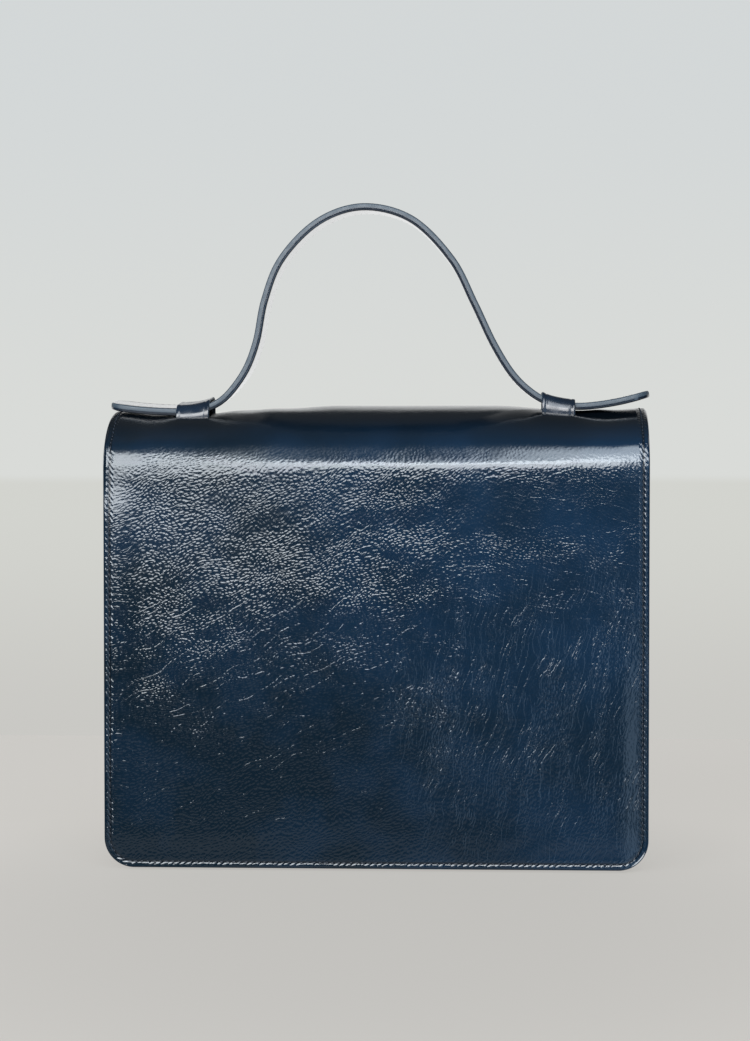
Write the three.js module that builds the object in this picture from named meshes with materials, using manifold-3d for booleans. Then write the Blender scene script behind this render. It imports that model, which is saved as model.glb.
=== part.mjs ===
// A mini briefcase handbag: a stiff leather case closed by one flap that covers the whole front, with a
// strap handle that runs through two keeper loops on the flap's top.
// Units are millimetres, +Z is up and the front faces -Y. The origin is on the floor, under the middle.

import * as THREE from "three";
import { mergeVertices } from "three/addons/utils/BufferGeometryUtils.js";
import Module from "manifold-3d";

const { clamp, degToRad, lerp, smoothstep } = THREE.MathUtils;

// Driving dimensions
const bagDepth = 70; // crown of the front face to the tail on the back
const seamGap = 0.3; // clearance between neighbouring pieces

const flapWidth = 190;
const flapWall = 2.4;
const flapHem = 0.8; // height of the lower edge over the floor
const flapCorner = 10.5; // radius of the lower corners
const flapTop = 159.2; // height of the top at the loops
const frontBend = { reach: 38, rise: 18 }; // quarter ellipse, front face to top
const rearBend = { reach: bagDepth - frontBend.reach, rise: 14 };
const tailEnd = 118; // height of the edge sewn to the back panel
const frontCrown = 1.2; // how far the edges lie behind the middle of the front face
const dome = { rise: 3.2, left: { full: 36, end: 66 }, right: { full: 42, end: 72 } }; // lift between the loops
const shoulder = { rise: 1.1, start: 30, full: 60 }; // the right of the top lies higher than the left
const rimLift = { rise: 1.2, start: 80, full: 94 }; // lift of the top towards the side edges

const caseWidth = 187;
const caseCorner = 9;
const panelWall = 2.0;
const panelFoot = 0.3; // the panels end just above the gusset's flat bottom
const panelBelly = 0.8;
const frontPanelY = -29; // outer face of the inner front wall
const frontPanelTop = 132;
const backPanelTop = 143;
const gussetWall = 1.8;
const gussetBow = 3; // how far the sides fold in at their middle

const strapWidth = 20;
const strapThickness = 2.6;
const strapEndCorner = 6;
const strapRoll = { degrees: 4, full: -58, end: -40 }; // the left end leans to the front

const loopMiddle = { left: -66.1, right: 63.8 };
const loopLength = 11.8; // along the strap
const loopWall = 1.0;
const loopCorner = 1.9;

const claspRadius = 8;
const claspHeight = 42;

// The strap's middle line, seen from the front: its ends lie on the flap, its middle is an arch.
const strapLine = [
  { x: -96, z: 162.7 },
  { x: -85, z: 161.4 },
  { x: -74, z: 160.8 },
  { x: -66.5, z: 160.9 },
  { x: -60, z: 162.6 },
  { x: -55.2, z: 165.4 },
  { x: -50.7, z: 170.2 },
  { x: -46.8, z: 176.2 },
  { x: -43.5, z: 185 },
  { x: -40.5, z: 199.7 },
  { x: -34.7, z: 214 },
  { x: -21, z: 227.8 },
  { x: -5.9, z: 232.7 },
  { x: 11, z: 228.7 },
  { x: 26, z: 214 },
  { x: 34, z: 198.5 },
  { x: 41.2, z: 183.5 },
  { x: 47.5, z: 173.5 },
  { x: 52.8, z: 168.1 },
  { x: 58.5, z: 164.4 },
  { x: 64.5, z: 162.7 },
  { x: 70.5, z: 162.1 },
  { x: 77, z: 162.5 },
  { x: 86, z: 164 },
  { x: 96, z: 166.6 },
];

// Materials
const leather = new THREE.MeshStandardMaterial({ color: 0x14263f, roughness: 0.32, metalness: 0 });
const innerLeather = new THREE.MeshStandardMaterial({ color: 0x182a42, roughness: 0.45, metalness: 0 });
const strapLeather = new THREE.MeshStandardMaterial({ color: 0x2b3c54, roughness: 0.4, metalness: 0 });
const claspMetal = new THREE.MeshStandardMaterial({ color: 0x9a9ca0, roughness: 0.35, metalness: 1 });

// Solids: a closed geometry becomes a solid for a cut, and the result becomes a geometry again.
const wasm = await Module();
wasm.setup();

function toSolid(geometry) {
  const bare = new THREE.BufferGeometry().setAttribute("position", geometry.getAttribute("position"));
  if (geometry.index) bare.setIndex(geometry.index);
  const merged = mergeVertices(bare, 1e-3);
  return new wasm.Manifold(
    new wasm.Mesh({
      numProp: 3,
      vertProperties: merged.attributes.position.array,
      triVerts: new Uint32Array(merged.index.array),
    }),
  );
}

function toGeometry(solid) {
  const mesh = solid.getMesh();
  const geometry = new THREE.BufferGeometry()
    .setAttribute("position", new THREE.BufferAttribute(mesh.vertProperties, 3))
    .setIndex(new THREE.BufferAttribute(mesh.triVerts, 1));
  geometry.computeVertexNormals();
  return geometry;
}

// Points along a path: straight stretches are split evenly, each bend into a fixed number of steps.
function pathPoints(path, straightStep, bendSteps) {
  const points = [path.curves[0].getPoint(0)];
  for (const curve of path.curves) {
    const steps = curve.isLineCurve ? Math.ceil(curve.getLength() / straightStep) : bendSteps;
    points.push(...curve.getPoints(steps).slice(1));
  }
  return points;
}

// The points moved sideways, to the left of the way they run.
function offsetPoints(points, distance) {
  return points.map((point, i) => {
    const before = points[Math.max(i - 1, 0)];
    const after = points[Math.min(i + 1, points.length - 1)];
    const along = after.clone().sub(before).normalize();
    return new THREE.Vector2(point.x - along.y * distance, point.y + along.x * distance);
  });
}

// The closed outline of a wall that follows the points, between two offsets to their left.
function wallOutline(points, near, far) {
  return new THREE.Shape([...offsetPoints(points, near), ...offsetPoints(points, far).reverse()]);
}

// A side view (y, z) made solid across the bag, from -width/2 to width/2.
function extrudeAcross(shape, width, steps) {
  const options = { depth: width, steps, curveSegments: 4, bevelEnabled: false };
  const geometry = new THREE.ExtrudeGeometry(shape, options);
  const toSideView = new THREE.Matrix4().makeBasis(
    new THREE.Vector3(0, 1, 0),
    new THREE.Vector3(0, 0, 1),
    new THREE.Vector3(1, 0, 0),
  );
  return geometry.applyMatrix4(toSideView).translate(-width / 2, 0, 0);
}

// A front view (x, z) made solid from one depth to another.
function extrudeBack(shape, fromY, toY, steps = 1) {
  const options = { depth: toY - fromY, steps, curveSegments: 10, bevelEnabled: false };
  const geometry = new THREE.ExtrudeGeometry(shape, options);
  return geometry.rotateX(Math.PI / 2).translate(0, toY, 0);
}

// Every vertex moved by a function that changes the point it is given.
function reshape(geometry, move) {
  const position = geometry.getAttribute("position");
  const point = new THREE.Vector3();
  for (let i = 0; i < position.count; i++) {
    point.fromBufferAttribute(position, i);
    move(point);
    position.setXYZ(i, point.x, point.y, point.z);
  }
  return geometry;
}

// A front view with rounded lower corners.
function frontOutline(width, bottom, corner, top) {
  const half = width / 2;
  return new THREE.Shape()
    .moveTo(half, top)
    .lineTo(-half, top)
    .lineTo(-half, bottom + corner)
    .absarc(-half + corner, bottom + corner, corner, Math.PI, 1.5 * Math.PI)
    .lineTo(half - corner, bottom)
    .absarc(half - corner, bottom + corner, corner, 1.5 * Math.PI, 2 * Math.PI);
}

// A rectangle with four rounded corners, about the middle (x, y).
function roundedRectangle(x, y, width, height, corner) {
  const halfWidth = width / 2 - corner;
  const halfHeight = height / 2 - corner;
  return new THREE.Shape()
    .absarc(x + halfWidth, y + halfHeight, corner, 0, 0.5 * Math.PI)
    .absarc(x - halfWidth, y + halfHeight, corner, 0.5 * Math.PI, Math.PI)
    .absarc(x - halfWidth, y - halfHeight, corner, Math.PI, 1.5 * Math.PI)
    .absarc(x + halfWidth, y - halfHeight, corner, 1.5 * Math.PI, 2 * Math.PI);
}

// Shape of the flap: how far its front face lies behind the crown, and how much its top rises.
const frontY = -bagDepth / 2;
const backY = bagDepth / 2;
const topY = frontY + frontBend.reach; // crest of the flap's top
const bendFoot = flapTop - frontBend.rise;
const crownHeight = flapTop / 2;

function frontSetback(x, z) {
  const across = clamp(x / (flapWidth / 2), -1, 1);
  const up = clamp(z / crownHeight - 1, -1, 1);
  return frontCrown * (1 - (1 - across ** 2) * (1 - up ** 2));
}

function topLift(x) {
  const reach = Math.abs(x);
  const { full, end } = x < 0 ? dome.left : dome.right;
  const besideDome = shoulder.rise * smoothstep(x, shoulder.start, shoulder.full);
  const edges = rimLift.rise * smoothstep(reach, rimLift.start, rimLift.full);
  return lerp(dome.rise, besideDome, smoothstep(reach, full, end)) + edges;
}

// Shape of the strap, seen from the front
const strapCurve = new THREE.CatmullRomCurve3(strapLine.map(({ x, z }) => new THREE.Vector3(x, 0, z)));
const strapPoints = strapCurve.getSpacedPoints(110).map((point) => new THREE.Vector2(point.x, point.z));
const strapUpperFace = offsetPoints(strapPoints, strapThickness / 2);

function strapTopAt(x) {
  const i = strapUpperFace.findIndex((point) => point.x > x);
  const [before, after] = [strapUpperFace[i - 1], strapUpperFace[i]];
  return lerp(before.y, after.y, (x - before.x) / (after.x - before.x));
}

function rollSlope(x) {
  return Math.tan(degToRad(strapRoll.degrees)) * (1 - smoothstep(x, strapRoll.full, strapRoll.end));
}

// Flap: from its tail on the back, over the top and down the front to the hem.
function makeFlap() {
  const sideLine = new THREE.Path()
    .moveTo(backY, tailEnd)
    .lineTo(backY, flapTop - rearBend.rise)
    .absellipse(topY, flapTop - rearBend.rise, rearBend.reach, rearBend.rise, 0, 0.5 * Math.PI)
    .absellipse(topY, bendFoot, frontBend.reach, frontBend.rise, 0.5 * Math.PI, Math.PI)
    .lineTo(frontY, 0);
  const side = wallOutline(pathPoints(sideLine, 14, 10), 0, flapWall);
  const sheet = reshape(extrudeAcross(side, flapWidth + 1, 24), (point) => {
    const frontShare = clamp(point.y / frontY, 0, 1);
    const topShare = smoothstep(point.z, bendFoot, flapTop);
    point.y += frontSetback(point.x, point.z) * frontShare;
    point.z += topLift(point.x) * topShare;
  });
  const outline = frontOutline(flapWidth, flapHem, flapCorner, flapTop + 20);
  let solid = toSolid(sheet).intersect(toSolid(extrudeBack(outline, 2 * frontY, 2 * backY)));
  for (const slit of loopSlits()) solid = solid.subtract(toSolid(slit));
  return toGeometry(solid);
}

// Two slits under each loop, through which the loop's band passes.
function loopSlits() {
  const legY = (strapWidth + loopWall) / 2 + seamGap;
  const slits = [];
  for (const x of [loopMiddle.left, loopMiddle.right])
    for (const y of [-legY, legY]) {
      const slit = new THREE.BoxGeometry(loopLength + 2 * seamGap, loopWall + 2 * seamGap, 4 * flapWall);
      slits.push(slit.translate(x, y, flapTop - flapWall));
    }
  return slits;
}

// Stiff wall with a shallow belly, trimmed to the outline of the case. `side` is -1 in front, 1 at the back.
function makePanel(outerY, side, top, bellyHeight) {
  const upright = new THREE.Path().moveTo(outerY, 0).lineTo(outerY, top + 5);
  const [near, far] = side > 0 ? [0, panelWall] : [-panelWall, 0];
  const sheet = reshape(
    extrudeAcross(wallOutline(pathPoints(upright, 24, 1), near, far), caseWidth + 1, 12),
    (point) => {
      const across = clamp(point.x / (caseWidth / 2), -1, 1);
      const up = clamp(point.z / bellyHeight - 1, -1, 1);
      point.y += side * panelBelly * (1 - across ** 2) * (1 - up ** 2);
    },
  );
  const outline = frontOutline(caseWidth, panelFoot, caseCorner, top);
  return toGeometry(toSolid(sheet).intersect(toSolid(extrudeBack(outline, 2 * frontY, 2 * backY))));
}

// Gusset: one strip down one side, along the bottom and up the other, between the two panels.
const backPanelY = backY - flapWall - seamGap;
const gussetFrontY = frontPanelY + panelWall + seamGap;
const gussetBackY = backPanelY - panelWall - seamGap;

function makeGusset() {
  const half = caseWidth / 2;
  const wayRound = new THREE.Path()
    .moveTo(-half, backPanelTop)
    .lineTo(-half, caseCorner)
    .absarc(-half + caseCorner, caseCorner, caseCorner, Math.PI, 1.5 * Math.PI)
    .lineTo(half - caseCorner, 0)
    .absarc(half - caseCorner, caseCorner, caseCorner, 1.5 * Math.PI, 2 * Math.PI)
    .lineTo(half, backPanelTop);
  const strip = wallOutline(pathPoints(wayRound, 20, 6), 0, gussetWall);
  const midY = (gussetFrontY + gussetBackY) / 2;
  const halfDepth = (gussetBackY - gussetFrontY) / 2;
  const bowed = reshape(extrudeBack(strip, gussetFrontY, gussetBackY, 8), (point) => {
    const inFold = 1 - ((point.y - midY) / halfDepth) ** 2;
    point.x -= Math.sign(point.x) * gussetBow * inFold * smoothstep(point.z, caseCorner, frontPanelTop);
  });
  const sideView = new THREE.Shape()
    .moveTo(2 * frontY, -1)
    .lineTo(2 * backY, -1)
    .lineTo(2 * backY, backPanelTop - 2)
    .lineTo(gussetBackY, backPanelTop - 2)
    .quadraticCurveTo(midY, frontPanelTop + 2, gussetFrontY, frontPanelTop)
    .lineTo(2 * frontY, frontPanelTop);
  return toGeometry(toSolid(bowed).intersect(toSolid(extrudeAcross(sideView, 2 * flapWidth, 1))));
}

// Handle strap: its front view made solid over the strap's width, with rounded ends seen from above.
function makeStrap() {
  const band = wallOutline(strapPoints, -strapThickness / 2, strapThickness / 2);
  const rolled = reshape(extrudeBack(band, -strapWidth / 2, strapWidth / 2), (point) => {
    point.z += point.y * rollSlope(point.x);
  });
  const span = 2 * Math.abs(strapLine[0].x);
  const plan = roundedRectangle(0, 0, span, strapWidth - 0.01, strapEndCorner);
  const options = { depth: 2 * flapTop, curveSegments: 6, bevelEnabled: false };
  const above = new THREE.ExtrudeGeometry(plan, options);
  return toGeometry(toSolid(rolled).intersect(toSolid(above)));
}

// Keeper loop: a band round the strap that passes through the flap and closes under it.
function makeLoop(side) {
  const halfLength = loopLength / 2;
  const middle = side < 0 ? loopMiddle.left : loopMiddle.right;
  const outerTop = strapTopAt(middle + side * halfLength) + seamGap + loopWall;
  const innerTop = strapTopAt(middle - side * halfLength) + seamGap + loopWall;
  const width = strapWidth + 2 * (seamGap + loopWall);
  const legReach = (topY + width / 2) / frontBend.reach;
  const bendDrop = frontBend.rise * (1 - Math.sqrt(1 - legReach ** 2)); // flap's crest to the front leg
  const flapUnder = flapTop - bendDrop - flapWall;
  const lift = topLift(middle + side * halfLength) * smoothstep(flapUnder, bendFoot, flapTop);
  const foot = flapUnder + lift - seamGap - loopWall;
  const height = outerTop - foot;
  const middleZ = foot + height / 2;
  const twoWalls = 2 * loopWall;
  const section = roundedRectangle(0, middleZ, width, height, loopCorner);
  const hole = roundedRectangle(0, middleZ, width - twoWalls, height - twoWalls, loopCorner - loopWall);
  section.holes.push(hole);
  const ring = extrudeAcross(section, loopLength, 2);
  return reshape(ring, (point) => {
    if (point.z > middleZ) {
      const inward = 0.5 - (side * point.x) / loopLength;
      point.z += lerp(0, innerTop - outerTop, inward) + point.y * rollSlope(middle);
    }
    point.x += middle;
  });
}

// Magnet clasp: one disc between the flap's inner face and the front panel.
function makeClasp() {
  const flapInside = frontY + flapWall + frontSetback(0, claspHeight - claspRadius);
  const front = flapInside + seamGap;
  const back = frontPanelY - panelBelly - seamGap;
  const disc = new THREE.CylinderGeometry(claspRadius, claspRadius, back - front, 32);
  return disc.translate(0, (front + back) / 2, claspHeight);
}

// Assembly
const bag = new THREE.Group();

function addPiece(name, geometry, material) {
  const mesh = new THREE.Mesh(geometry, material);
  mesh.name = name;
  bag.add(mesh);
}

addPiece("back_panel", makePanel(backPanelY, 1, backPanelTop, tailEnd / 2), innerLeather);
addPiece("gusset", makeGusset(), innerLeather);
addPiece("front_panel", makePanel(frontPanelY, -1, frontPanelTop, frontPanelTop), innerLeather);
addPiece("flap", makeFlap(), leather);
addPiece("magnet_clasp", makeClasp(), claspMetal);
addPiece("handle_loop_left", makeLoop(-1), strapLeather);
addPiece("handle_loop_right", makeLoop(1), strapLeather);
addPiece("handle_strap", makeStrap(), strapLeather);

export default bag;
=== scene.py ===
# Mini briefcase handbag: a stiff leather case closed by one glossy flap over its whole front, with a strap
# handle that runs through two keeper loops on top. Sheet sizes below are in millimetres, the front faces -Y.

import math

import bpy
import numpy as np
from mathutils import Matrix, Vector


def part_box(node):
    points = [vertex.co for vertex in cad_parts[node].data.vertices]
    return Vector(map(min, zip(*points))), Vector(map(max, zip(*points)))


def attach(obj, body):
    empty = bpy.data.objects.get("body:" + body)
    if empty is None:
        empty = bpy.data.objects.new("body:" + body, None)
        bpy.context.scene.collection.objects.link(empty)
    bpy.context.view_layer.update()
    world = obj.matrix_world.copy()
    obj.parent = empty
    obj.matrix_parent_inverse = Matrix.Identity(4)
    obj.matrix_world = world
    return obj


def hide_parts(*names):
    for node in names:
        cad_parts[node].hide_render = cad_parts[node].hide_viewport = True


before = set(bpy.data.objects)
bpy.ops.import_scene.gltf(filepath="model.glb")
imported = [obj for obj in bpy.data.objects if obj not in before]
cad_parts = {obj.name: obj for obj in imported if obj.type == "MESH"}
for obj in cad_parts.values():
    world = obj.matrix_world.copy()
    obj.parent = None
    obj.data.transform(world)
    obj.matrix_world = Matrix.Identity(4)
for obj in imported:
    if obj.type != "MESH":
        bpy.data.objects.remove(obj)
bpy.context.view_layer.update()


# Back panel: the stiff rear wall of the case, cut from one sheet of smooth navy calf with rounded lower
# corners. Its edges are rounded over and painted, and a row of stitches joins it to the gusset.

MM = 0.001
CASE_CORNER = 9.0
PANEL_WALL = 2.0
PANEL_BELLY = 0.8
TAIL_END = 118.0
PANEL_RIM = 0.8
PANEL_STEP = 2.0
PLAIN_GRADING = (0.0, 0.06, 0.22, 0.5, 0.9, 1.5, 2.4, 3.4)
SQUARE_CORNER = 0.01
CASE_ROUGHNESS = 0.3
PAINT_DULLNESS = 0.25
CASE_STITCH_INSET = 2.4
STITCH_PITCH = 2.15
STITCH_LENGTH = 1.75
STITCH_WIDTH = 0.55
STITCH_HEIGHT_SHARE = 0.42
STITCH_SLANT = math.radians(8.0)
STITCH_LIFT = 0.05
STITCH_WOBBLE = 0.22
STITCH_UNEVEN = (0.62, 1.12)
SEAM_STEP = 0.7
SEAM_STOP = 3.0

CASE_NAVY = (0.010, 0.026, 0.052, 1.0)
CASE_DEEP = (0.006, 0.016, 0.034, 1.0)
EDGE_PAINT = (0.040, 0.058, 0.085, 1.0)
FLESH_SIDE = (0.030, 0.040, 0.056, 1.0)
THREAD_NAVY = (0.003, 0.006, 0.011, 1.0)


def smoothstep(value, low, high):
    share = np.clip((value - low) / (high - low), 0.0, 1.0)
    return share * share * (3.0 - 2.0 * share)


def hump(value, middle, width):
    """A smooth hump, 1 high at `middle`."""
    return np.exp(-(((value - middle) / width) ** 2))


def lengths_along(points):
    """Length along a line of points, from its start to each of them."""
    return np.concatenate([[0.0], np.cumsum(np.linalg.norm(np.diff(points, axis=0), axis=1))])


def box_in_mm(node):
    low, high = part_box(node)
    return np.array(low) / MM, np.array(high) / MM


def stops(length, step, edge):
    """Places from 0 to length: evenly spaced, but as close as `edge` lists them towards both ends."""
    edge = np.array(edge)
    inner_length = length - 2.0 * edge[-1]
    inner = np.linspace(0.0, inner_length, max(int(round(inner_length / step)), 1) + 1) + edge[-1]
    return np.concatenate([edge[:-1], inner, length - edge[-2::-1]])


def half_width(half, corner, run):
    """Half the width of a sheet at a distance `run` from an end with rounded corners."""
    short = np.clip(corner - run, 0.0, corner)
    return half - corner + np.sqrt(np.maximum(corner ** 2 - short ** 2, 0.0))


def edge_distance(across, run, half, corner):
    """How far a point of a sheet lies from its sides and from the end that `run` is measured from."""
    over = np.abs(across) - (half - corner)
    short = corner - run
    outside = np.hypot(np.maximum(over, 0.0), np.maximum(short, 0.0))
    return corner - outside - np.minimum(np.maximum(over, short), 0.0)


def edge_run(across, run, half, corner):
    """Length along the stitch line from the middle of the low end to the place nearest to each point."""
    over = np.abs(across) - (half - corner)
    short = corner - run
    turn = np.arctan2(np.maximum(over, 0.0), np.maximum(short, 1e-6))
    radius = max(corner - CASE_STITCH_INSET, 0.0)
    along_end = np.abs(across)
    round_corner = half - corner + radius * turn
    along_side = half - corner + radius * math.pi / 2 + run - corner
    on_end = np.where(over > short, along_side, along_end)
    return np.where((over > 0) & (short > 0), round_corner, on_end)


def with_normals(surface, across, run):
    """Points of a surface and the directions it faces there."""
    step = 0.4
    way_across = surface(across + step, run) - surface(across - step, run)
    way_along = surface(across, run + step) - surface(across, run - step)
    normal = np.cross(way_across, way_along)
    return surface(across, run), normal / np.linalg.norm(normal, axis=-1, keepdims=True)


def border_loop(rows, columns):
    """Row and column of every point on the border of a grid, once round."""
    low = [(0, j) for j in range(columns - 1)]
    right = [(i, columns - 1) for i in range(rows - 1)]
    high = [(rows - 1, j) for j in range(columns - 1, 0, -1)]
    left = [(i, 0) for i in range(rows - 1, 0, -1)]
    return low + right + high + left


def inner_faces(rows, columns, row_lines, column_lines, vertex):
    """Faces of the inner side: cells of a coarse grid whose border keeps every point of the fine one."""
    faces = []
    for i0, i1 in zip(row_lines[:-1], row_lines[1:]):
        for j0, j1 in zip(column_lines[:-1], column_lines[1:]):
            low = range(j0, j1) if i0 == 0 else (j0,)
            right = range(i0, i1) if j1 == columns - 1 else (i0,)
            high = range(j1, j0, -1) if i1 == rows - 1 else (j1,)
            left = range(i1, i0, -1) if j0 == 0 else (i1,)
            cell = [vertex[i0, j] for j in low]
            cell += [vertex[i, j1] for i in right]
            cell += [vertex[i1, j] for j in high]
            cell += [vertex[i, j0] for i in left]
            faces.append(cell[::-1])
    return faces


def leather_sheet(name, surface, run, across, corners, wall, rim, relief=None, inner_step=4):
    """A sheet of leather as one closed mesh with rounded edges.

    surface(x, s) gives the middle of the wall, x across the sheet and s along it. `run` and `across` are
    the grid's places, `corners` the radii at the two ends, `rim` the rounding of the edge, and
    relief(x, s, inset) lifts the outer face.
    """
    half = across[-1]
    length = run[-1]
    s, x = np.meshgrid(run, across, indexing="ij")
    reach = np.minimum(half_width(half, corners[0], s), half_width(half, corners[1], length - s))
    x = x * reach / half
    inset = np.minimum(
        edge_distance(x, s, half, corners[0]),
        edge_distance(x, length - s, half, corners[1]),
    )
    inset = np.maximum(inset, 0.0)
    middle, normal = with_normals(surface, x, s)
    rounding = np.sqrt(1.0 - (1.0 - np.clip(inset / rim, 0.0, 1.0)) ** 2)
    reach_out = wall / 2 - rim * (1.0 - rounding)
    lift = relief(x, s, inset) * rounding if relief else np.zeros_like(x)
    outer = middle + normal * (reach_out + lift)[..., None]
    inner = middle - normal * reach_out[..., None]

    rows, columns = x.shape
    row_lines = sorted(set(range(0, rows, inner_step)) | {rows - 1})
    column_lines = sorted(set(range(0, columns, inner_step)) | {columns - 1})
    loop = border_loop(rows, columns)
    inner_places = list(loop)
    inner_places += [(i, j) for i in row_lines[1:-1] for j in column_lines[1:-1]]
    inner_index = {place: rows * columns + k for k, place in enumerate(inner_places)}

    grid = np.arange(rows * columns).reshape(rows, columns)
    quads = np.stack([grid[:-1, :-1], grid[:-1, 1:], grid[1:, 1:], grid[1:, :-1]], -1).reshape(-1, 4)
    faces = quads.tolist()
    for here, there in zip(loop, loop[1:] + loop[:1]):
        faces.append([int(grid[here]), inner_index[here], inner_index[there], int(grid[there])])
    faces += inner_faces(rows, columns, row_lines, column_lines, inner_index)

    pick = tuple(np.array(inner_places).T)
    points = np.concatenate([outer.reshape(-1, 3), inner[pick]])
    mesh = bpy.data.meshes.new(name)
    mesh.from_pydata((points * MM).tolist(), [], faces)
    mesh.shade_smooth()

    def on_points(field):
        return np.concatenate([field.reshape(-1), field[pick]]).astype(np.float32)

    inside = np.concatenate([np.zeros(rows * columns), np.ones(len(inner_places))])
    values = {
        "inset": on_points(inset),
        "inside": inside.astype(np.float32),
        "edge_run": on_points(edge_run(x, s, half, corners[0])),
    }
    for attribute, field in values.items():
        mesh.attributes.new(attribute, "FLOAT", "POINT").data.foreach_set("value", field)
    corner_vertices = np.zeros(len(mesh.loops), np.int32)
    mesh.loops.foreach_get("vertex_index", corner_vertices)
    places = np.stack([on_points(x), on_points(s)], -1) * MM
    flat_places = places[corner_vertices].ravel().astype(np.float32)
    mesh.uv_layers.new(name="sheet").data.foreach_set("uv", flat_places)
    mesh.validate()

    piece = bpy.data.objects.new(name, mesh)
    bpy.context.collection.objects.link(piece)
    return piece


class Shade:
    """A socket of a node tree. Arithmetic on it adds Math nodes, and add() makes any other node."""

    def __init__(self, tree, socket=None):
        self.tree = tree
        self.socket = socket

    def add(self, kind, settings, sockets, output=0):
        node = self.tree.nodes.new(kind)
        for name, value in settings.items():
            setattr(node, name, value)
        for name, value in sockets.items():
            if isinstance(value, Shade):
                self.tree.links.new(value.socket, node.inputs[name])
            else:
                node.inputs[name].default_value = value
        return Shade(self.tree, node.outputs[output] if node.outputs else None)

    def math(self, operation, first, second=0.0):
        return self.add("ShaderNodeMath", {"operation": operation}, {0: first, 1: second})

    def vector(self, operation, sockets):
        return self.add("ShaderNodeVectorMath", {"operation": operation}, sockets)

    def __add__(self, other):
        return self.math("ADD", self, other)

    def __radd__(self, other):
        return self.math("ADD", other, self)

    def __sub__(self, other):
        return self.math("SUBTRACT", self, other)

    def __rsub__(self, other):
        return self.math("SUBTRACT", other, self)

    def __mul__(self, other):
        return self.math("MULTIPLY", self, other)

    def __pow__(self, other):
        return self.math("POWER", self, other)

    def __abs__(self):
        return self.math("ABSOLUTE", self)

    def ramp(self, low, high, start=0.0, end=1.0):
        """A smooth step from `start` to `end` while this value goes from `low` to `high`."""
        settings = {"interpolation_type": "SMOOTHSTEP"}
        return self.add("ShaderNodeMapRange", settings, {0: self, 1: low, 2: high, 3: start, 4: end})

    def blend(self, first, second):
        """Between two colours, by this value."""
        settings = {"data_type": "RGBA"}
        return self.add("ShaderNodeMix", settings, {0: self, 6: first, 7: second}, output=2)

    def attribute(self, name):
        return self.add("ShaderNodeAttribute", {"attribute_name": name}, {}, output="Fac")

    def sheet_place(self):
        """Place on the flat sheet in millimetres, across it and along it."""
        uv = self.add("ShaderNodeUVMap", {"uv_map": "sheet"}, {})
        return self.vector("SCALE", {0: uv, "Scale": 1 / MM})

    def part(self, axis):
        return self.add("ShaderNodeSeparateXYZ", {}, {0: self}, output=axis)

    def stretched(self, degrees, along, across, shift):
        """Texture space in which a unit is `along` mm in a direction and `across` mm square to it."""
        sockets = {
            "Vector": self,
            "Location": (shift, 2.3 * shift, 0.0),
            "Rotation": (0.0, 0.0, math.radians(degrees)),
            "Scale": (along, across, 1.0),
        }
        return self.add("ShaderNodeMapping", {"vector_type": "TEXTURE"}, sockets)

    def noise(self, scale, detail=2.0, output="Fac"):
        sockets = {"Vector": self, "Scale": scale, "Detail": detail}
        return self.add("ShaderNodeTexNoise", {"noise_dimensions": "2D"}, sockets, output=output)

    def cells(self, randomness=1.0):
        settings = {"voronoi_dimensions": "2D", "feature": "F1"}
        sockets = {"Vector": self, "Scale": 1.0, "Randomness": randomness}
        return self.add("ShaderNodeTexVoronoi", settings, sockets)


def new_shade(name):
    """A new material and a handle on its empty node tree."""
    material = bpy.data.materials.new(name)
    material.use_nodes = True
    material.node_tree.nodes.clear()
    return material, Shade(material.node_tree)


def finish_shade(shade, sockets):
    surface = shade.add("ShaderNodeBsdfPrincipled", {}, sockets)
    shade.add("ShaderNodeOutputMaterial", {}, {"Surface": surface})


def warped(place, reach, scale, shift):
    """The place moved about by smooth noise, up to about `reach` mm."""
    drift = place.stretched(0.0, 1.0, 1.0, shift).noise(scale, detail=1.0, output="Color")
    centred = place.vector("SUBTRACT", {0: drift, 1: (0.5, 0.5, 0.5)})
    scaled = place.vector("SCALE", {0: centred, "Scale": 2.0 * reach})
    return place.vector("ADD", {0: place, 1: scaled})


def smooth_grain(place):
    """Fine even grain of a smooth calf: small rounded cells."""
    bent = warped(place, 0.5, 0.8, 3.0)
    cell = bent.stretched(20.0, 0.75, 0.6, 11.0).cells()
    return (1.0 - cell * cell) * 0.02


def leather(
    name, tones, roughness, grain, under=FLESH_SIDE, under_dullness=0.3, paint=0.14, lip=0.0, coat=None
):
    """Glossy leather from its deep, light and edge tones, with a bump from grain(place).

    The edge paint reaches in by `paint` mm. A `lip` of 1 keeps it off the lower part of the edge, and
    `coat(place, inside)` says where varnish lies.
    """
    deep, tone, edge_paint = tones
    material, shade = new_shade(name)
    place = shade.sheet_place()
    inset = shade.attribute("inset")
    cloud = place.stretched(0.0, 1.0, 1.0, 40.0).noise(0.045, detail=3.0)
    colour = cloud.ramp(0.3, 0.7).blend(deep, tone)
    inside = shade.attribute("inside")
    painted = inset.ramp(0.02, paint, 1.0, 0.0) * (1.0 - inside.ramp(0.5, 0.9) * lip)
    colour = painted.blend(colour, edge_paint)
    colour = (inside * (1.0 - painted)).blend(colour, under)
    gloss = place.noise(0.3, detail=2.0).ramp(0.3, 0.7, roughness - 0.05, roughness + 0.06)
    gloss = gloss + inside * under_dullness + painted * PAINT_DULLNESS
    bump = shade.add("ShaderNodeBump", {}, {"Distance": MM, "Height": grain(place) * (1.0 - painted)})
    sockets = {"Base Color": colour, "Roughness": gloss, "Specular IOR Level": 0.5, "Normal": bump}
    if coat:
        sockets["Coat Weight"] = (1.0 - painted) * coat(place, inside)
    finish_shade(shade, sockets)
    return material


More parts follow.
